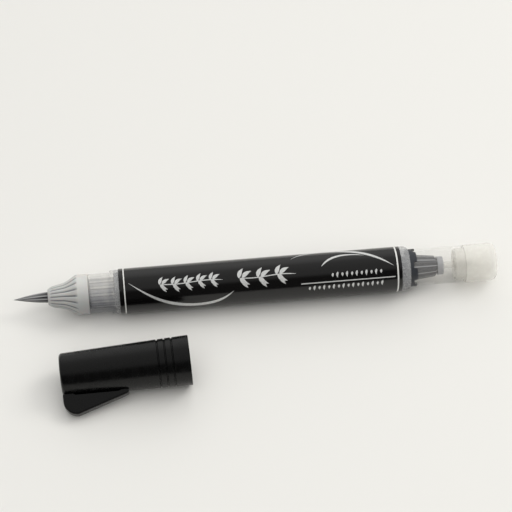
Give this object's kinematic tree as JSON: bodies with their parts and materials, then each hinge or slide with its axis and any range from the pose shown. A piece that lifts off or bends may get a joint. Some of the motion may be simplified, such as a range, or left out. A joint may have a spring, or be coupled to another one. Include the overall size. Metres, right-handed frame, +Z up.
{
  "type": "calligraphy brush pen",
  "caption": "Calligraphy brush pen with a pointed fibre tip, an ink tank barrel and a push-to-refresh tail knob, with its clip cap lying beside it.",
  "frame": {"origin": "on the table, under the middle of the bounding box of the pen and the cap beside it", "axes": "+X along the pen from brush to tail knob, +Y across the table away from the cap, +Z up"},
  "size_m": [0.145, 0.0468, 0.0146],
  "materials": {
    "brush_fibre": "matte",
    "white_plastic": "satin",
    "frosted_plastic": "satin",
    "felt": "matte",
    "clear_plastic": "gloss",
    "black_rubber": "matte",
    "grey_plastic": "satin",
    "dark_grey_plastic": "satin",
    "charcoal_plastic": "satin",
    "spring_steel": "satin",
    "ball_steel": "polished",
    "natural_plastic": "satin",
    "label_black": "gloss",
    "label_print": "satin",
    "cap_black": "gloss",
    "inner_cap_plastic": "satin"
  },
  "bodies": {
    "pen": {"brush_tip": "brush_fibre", "brush_holder": "white_plastic", "nose_cone": "frosted_plastic", "feed_tube": "white_plastic", "ink_sponge": "felt", "front_collar": "clear_plastic", "collar_o_ring": "black_rubber", "valve_housing": "grey_plastic", "feed_plug": "grey_plastic", "valve_seat": "black_rubber", "valve_spring": "spring_steel", "barrel": "natural_plastic", "label_film": "label_black", "rear_plug": "grey_plastic", "rod_seal": "black_rubber", "tail_sleeve": "dark_grey_plastic", "sleeve_ring": "grey_plastic", "return_spring": "spring_steel"},
    "knob": {"claw_ring": "charcoal_plastic", "push_knob": "clear_plastic", "knob_end_plug": "natural_plastic", "push_rod": "natural_plastic", "rod_collar": "white_plastic"},
    "valve": {"valve_stem": "white_plastic", "stem_collar": "white_plastic"},
    "ball": {"mixing_ball": "ball_steel"},
    "cap": {"cap_shell": "cap_black", "inner_cap": "inner_cap_plastic"},
    "clip": {"cap_clip": "cap_black"}
  },
  "joints": [
    {"name": "knob_push", "type": "slide", "parent": "pen", "child": "knob", "axis": [-1, 0, 0], "range_m": [0, 0.003], "stiffness_N_per_m": 300, "springref_m": -0.008, "deforming": ["return_spring"]},
    {"name": "valve_lift", "type": "slide", "parent": "pen", "child": "valve", "axis": [-1, 0, 0], "range_m": [0, 0.003], "stiffness_N_per_m": 100, "springref_m": -0.006, "deforming": ["valve_spring"]},
    {"name": "ball_roll", "type": "slide", "parent": "pen", "child": "ball", "axis": [1, 0, 0], "range_m": [-0.0135, 0.046]},
    {"name": "cap_pull", "type": "slide", "parent": "pen", "child": "cap", "axis": [0.9997, 0.0244, 0], "range_m": [-0.038, 0]},
    {"name": "clip_flex", "type": "hinge", "parent": "cap", "child": "clip", "pos_m": [-0.05667, -0.01735, 0.00395], "axis": [0.0155, 0.3781, -0.9256], "range_deg": [0, 4], "stiffness_Nm_per_rad": 1}
  ],
  "couplings": [
    {"joint": "valve_lift", "follows": "knob_push", "ratio": 1}
  ]
}
